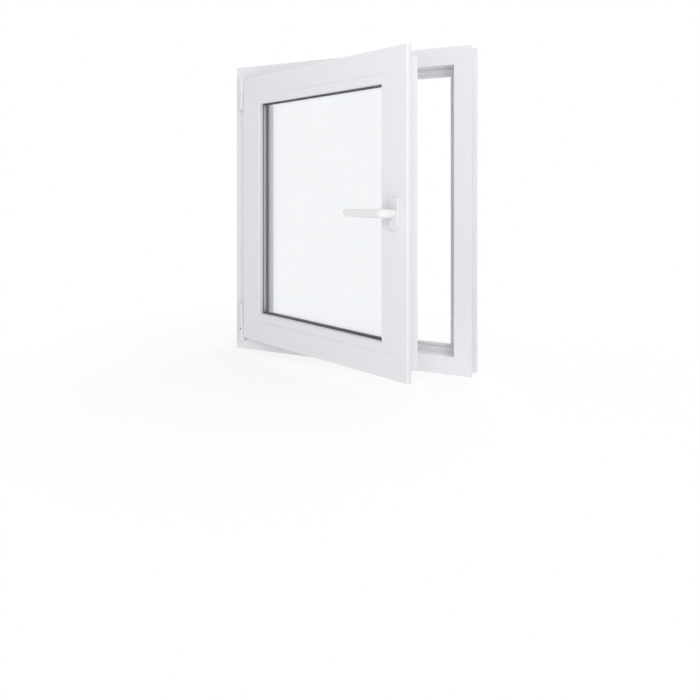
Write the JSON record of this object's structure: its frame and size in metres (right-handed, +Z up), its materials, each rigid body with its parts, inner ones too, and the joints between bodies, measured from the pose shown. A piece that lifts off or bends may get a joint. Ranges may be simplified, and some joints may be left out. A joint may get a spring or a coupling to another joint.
{
  "type": "casement window",
  "caption": "White uPVC casement window: side-hung double-glazed sash opening into the room in a mitred frame, with a rack-driven lock worked by a lever handle and pin hinges",
  "frame": {"origin": "middle of the sill's flat rear foot, on the surface the window stands on", "axes": "+X towards the lock side, +Y outdoors (room at -Y), +Z up; stored with the sash 20.5 degrees open and the handle level"},
  "size_m": [0.735, 0.3496, 0.86],
  "materials": {
    "white_upvc": "satin",
    "bead_upvc": "satin",
    "grey_gasket": "matte",
    "clear_glass": "polished",
    "spacer_aluminium": "satin",
    "edge_sealant": "matte",
    "block_plastic": "matte",
    "galvanised_steel": "galvanised",
    "hinge_zinc": "satin",
    "polished_steel": "polished",
    "lock_steel": "satin",
    "cap_plastic": "satin",
    "bush_plastic": "matte",
    "handle_paint": "satin"
  },
  "bodies": {
    "frame": {"frame_head": "white_upvc", "frame_sill": "white_upvc", "frame_jamb_hinge": "white_upvc", "frame_jamb_lock": "white_upvc", "frame_reinforcement": "galvanised_steel", "frame_stop_gasket": "grey_gasket", "lock_keepers": "lock_steel", "keeper_screws": "galvanised_steel", "lower_hinge_bracket": "hinge_zinc", "lower_hinge_pin": "polished_steel", "lower_hinge_cover": "cap_plastic", "upper_hinge_bracket": "hinge_zinc", "upper_hinge_pin": "polished_steel", "upper_hinge_cover": "cap_plastic", "hinge_bracket_screws": "galvanised_steel", "drain_caps": "cap_plastic"},
    "sash": {"sash_top_rail": "white_upvc", "sash_bottom_rail": "white_upvc", "sash_stile_hinge": "white_upvc", "sash_stile_lock": "white_upvc", "sash_reinforcement": "galvanised_steel", "sash_overlap_gasket": "grey_gasket", "glazing_bead_top": "bead_upvc", "glazing_bead_bottom": "bead_upvc", "glazing_bead_hinge": "bead_upvc", "glazing_bead_lock": "bead_upvc", "bead_gasket": "grey_gasket", "outer_glazing_gasket": "grey_gasket", "inner_pane": "clear_glass", "outer_pane": "clear_glass", "spacer_bar": "spacer_aluminium", "edge_seal": "edge_sealant", "glazing_blocks": "block_plastic", "lower_hinge_band": "hinge_zinc", "upper_hinge_band": "hinge_zinc", "hinge_bushes": "bush_plastic", "lower_band_sleeve": "cap_plastic", "upper_band_sleeve": "cap_plastic", "hinge_band_screws": "galvanised_steel", "gearbox_case": "lock_steel", "gearbox_cover": "lock_steel", "lock_faceplate": "lock_steel", "faceplate_screws": "galvanised_steel", "rosette_base": "bush_plastic", "rosette_cover": "cap_plastic", "handle_screws": "galvanised_steel"},
    "handle": {"handle_lever": "handle_paint", "handle_spindle": "galvanised_steel", "gear_pinion": "lock_steel"},
    "drive_rod": {"drive_rod": "lock_steel", "locking_cams": "polished_steel"}
  },
  "joints": [
    {"name": "sash_swing", "type": "hinge", "parent": "frame", "child": "sash", "pos_m": [-0.3385, -0.0665, 0.43], "axis": [0, 0, -1], "range_deg": [-20.5, 69.5]},
    {"name": "handle_turn", "type": "hinge", "parent": "sash", "child": "handle", "pos_m": [0.25149, -0.29029, 0.43], "axis": [-0.3502, -0.9367, 0], "range_deg": [0, 90]},
    {"name": "rod_slide", "type": "slide", "parent": "sash", "child": "drive_rod", "axis": [0, 0, 1], "range_m": [0, 0.01475]}
  ],
  "couplings": [
    {"joint": "rod_slide", "follows": "handle_turn", "m_per_rad": 0.009375}
  ]
}
